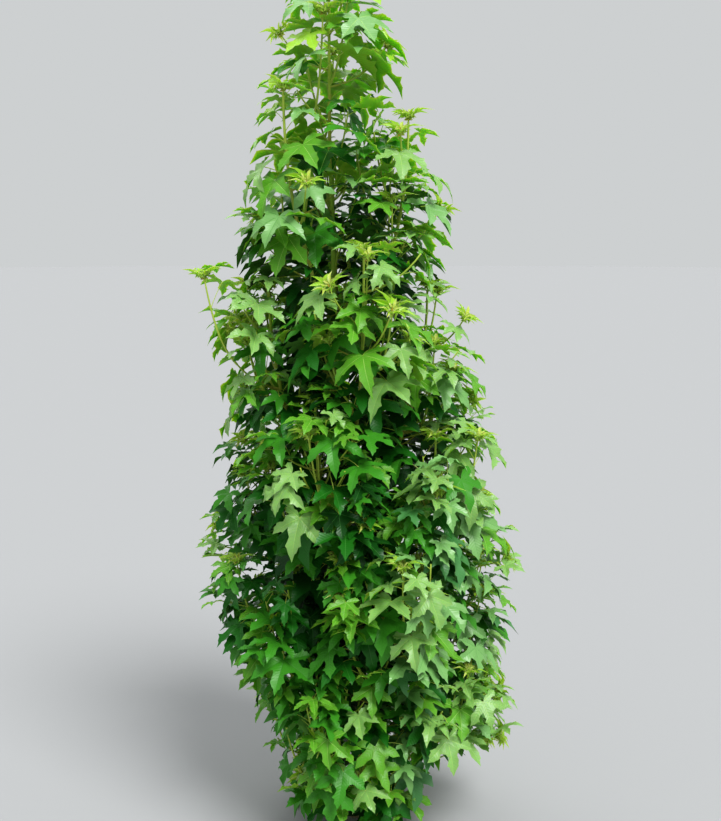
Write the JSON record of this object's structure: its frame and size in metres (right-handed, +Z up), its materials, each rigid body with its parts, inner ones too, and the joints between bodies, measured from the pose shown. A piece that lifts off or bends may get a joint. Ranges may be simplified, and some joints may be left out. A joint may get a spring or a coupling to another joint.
{
  "type": "columnar sweetgum tree",
  "caption": "Young columnar sweetgum tree in full summer leaf, leafy from the ground to its tip, with upright boughs and star-shaped leaves.",
  "frame": {"origin": "centre of the flat cut under the trunk, at ground level", "axes": "+Z up the trunk, +X to the right and +Y away from the viewer in the picture"},
  "size_m": [0.8357, 0.8008, 2.3433],
  "materials": {
    "bark": "matt grey-brown bark with fine fissures",
    "young_bark": "smooth green to tan bark of young boughs and twigs",
    "foliage": "satin green leaves with pale veins, yellower at the shoot tips"
  },
  "bodies": {
    "root": {"trunk": "bark", "bough_foot_1": "young_bark", "bough_foot_2": "young_bark", "bough_foot_3": "young_bark", "bough_foot_4": "young_bark", "bough_low_1": "young_bark", "bough_low_2": "young_bark", "bough_low_3": "young_bark", "bough_low_4": "young_bark", "bough_waist_1": "young_bark", "bough_waist_2": "young_bark", "bough_waist_3": "young_bark", "bough_waist_4": "young_bark", "bough_chest_1": "young_bark", "bough_chest_2": "young_bark", "bough_chest_3": "young_bark", "bough_chest_4": "young_bark", "bough_high_1": "young_bark", "bough_high_2": "young_bark", "bough_high_3": "young_bark", "foliage_foot_1": "foliage", "foliage_foot_2": "foliage", "foliage_foot_3": "foliage", "foliage_foot_4": "foliage", "foliage_low_1": "foliage", "foliage_low_2": "foliage", "foliage_low_3": "foliage", "foliage_low_4": "foliage", "foliage_waist_1": "foliage", "foliage_waist_2": "foliage", "foliage_waist_3": "foliage", "foliage_waist_4": "foliage", "foliage_chest_1": "foliage", "foliage_chest_2": "foliage", "foliage_chest_3": "foliage", "foliage_chest_4": "foliage", "foliage_high_1": "foliage", "foliage_high_2": "foliage", "foliage_high_3": "foliage", "foliage_top": "foliage"}
  },
  "joints": []
}
